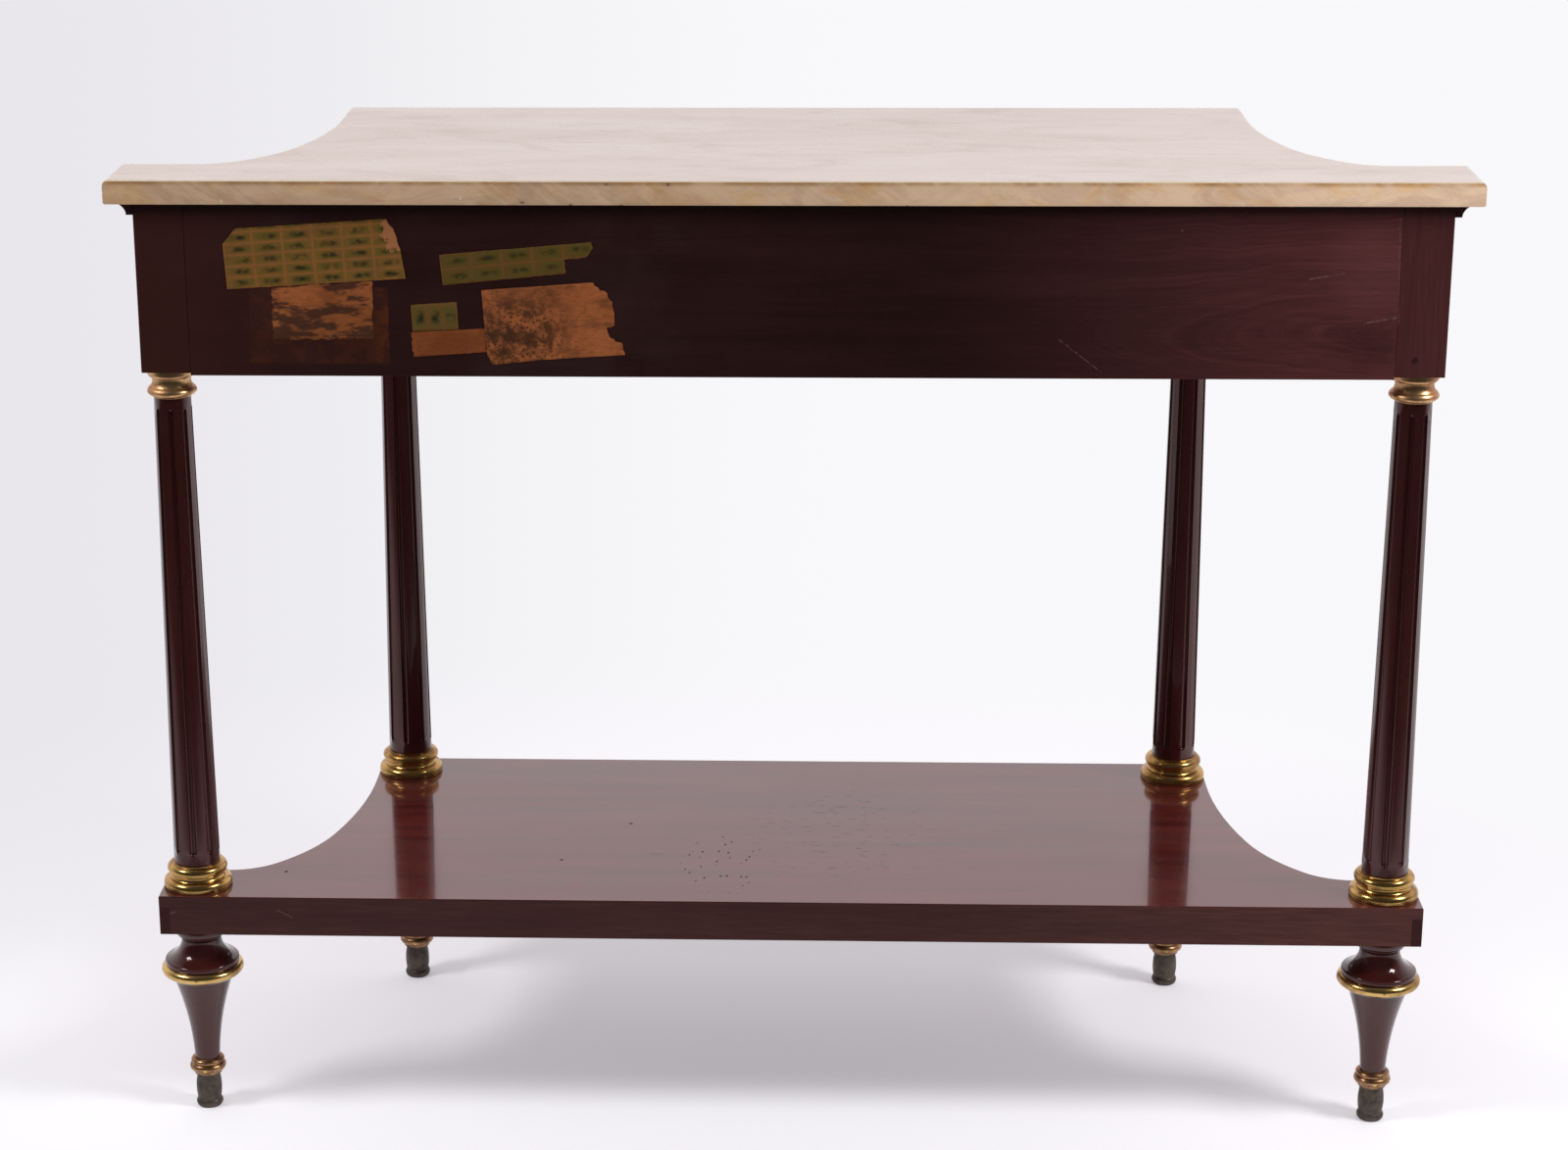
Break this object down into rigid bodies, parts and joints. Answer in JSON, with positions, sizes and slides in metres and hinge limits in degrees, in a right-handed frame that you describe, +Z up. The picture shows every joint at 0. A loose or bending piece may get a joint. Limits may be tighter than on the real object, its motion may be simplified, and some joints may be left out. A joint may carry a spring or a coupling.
{
  "type": "pier table",
  "caption": "Pier table with a marble top, a mahogany frieze with one drawer, fluted columns with brass capitals and bases, a shelf and turned feet in brass shoes, and concave sides.",
  "frame": {"origin": "on the floor under the middle of the marble top", "axes": "+X along the width, +Z up, -Y towards the drawer front and +Y towards the straight back that stands against a wall"},
  "size_m": [1.169, 0.3855, 0.88],
  "materials": {
    "marble": "polished",
    "mahogany": "French polished",
    "oak": "waxed",
    "brass": "polished and lacquered",
    "patinated_brass": "dark patina",
    "steel": "worn bright steel"
  },
  "bodies": {
    "body": {"back_panel": "mahogany", "base_back_left": "brass", "base_back_right": "brass", "base_front_left": "brass", "base_front_right": "brass", "bottom_rail": "mahogany", "brass_nails": "brass", "capital_back_left": "brass", "capital_back_right": "brass", "capital_front_left": "brass", "capital_front_right": "brass", "column_back_left": "mahogany", "column_back_right": "mahogany", "column_front_left": "mahogany", "column_front_right": "mahogany", "corner_block_back_left": "mahogany", "corner_block_back_right": "mahogany", "corner_block_front_left": "mahogany", "corner_block_front_right": "mahogany", "cornice_front": "mahogany", "cornice_left": "mahogany", "cornice_right": "mahogany", "foot_back_left": "mahogany", "foot_back_right": "mahogany", "foot_front_left": "mahogany", "foot_front_right": "mahogany", "foot_ring_back_left": "brass", "foot_ring_back_right": "brass", "foot_ring_front_left": "brass", "foot_ring_front_right": "brass", "kicker_left": "oak", "kicker_right": "oak", "marble_top": "marble", "runner_left": "oak", "runner_right": "oak", "shelf_core": "mahogany", "shelf_edge_front": "mahogany", "shelf_edge_left": "mahogany", "shelf_edge_right": "mahogany", "shelf_top": "mahogany", "shoe_back_left": "patinated_brass", "shoe_back_right": "patinated_brass", "shoe_front_left": "patinated_brass", "shoe_front_right": "patinated_brass", "side_panel_left": "mahogany", "side_panel_right": "mahogany", "top_rail": "mahogany"},
    "drawer": {"drawer_front": "mahogany", "drawer_side_left": "oak", "drawer_side_right": "oak", "drawer_back": "oak", "drawer_bottom": "oak", "drawer_moulding": "brass", "escutcheon": "brass", "lock_case": "steel", "lock_screws": "steel"},
    "bolt": {"lock_bolt": "steel"},
    "key": {"key": "steel"}
  },
  "joints": [
    {"name": "drawer_slide", "type": "slide", "parent": "body", "child": "drawer", "axis": [0, -1, 0], "range_m": [0, 0.26]},
    {"name": "key_turn", "type": "hinge", "parent": "drawer", "child": "key", "pos_m": [0, -0.1675, 0.815], "axis": [0, 1, 0], "range_deg": [0, 180]},
    {"name": "bolt_slide", "type": "slide", "parent": "drawer", "child": "bolt", "axis": [0, 0, 1], "range_m": [0, 0.006]}
  ],
  "couplings": [
    {"joint": "key_turn", "follows": "bolt_slide", "rad_per_m": 523.59}
  ]
}
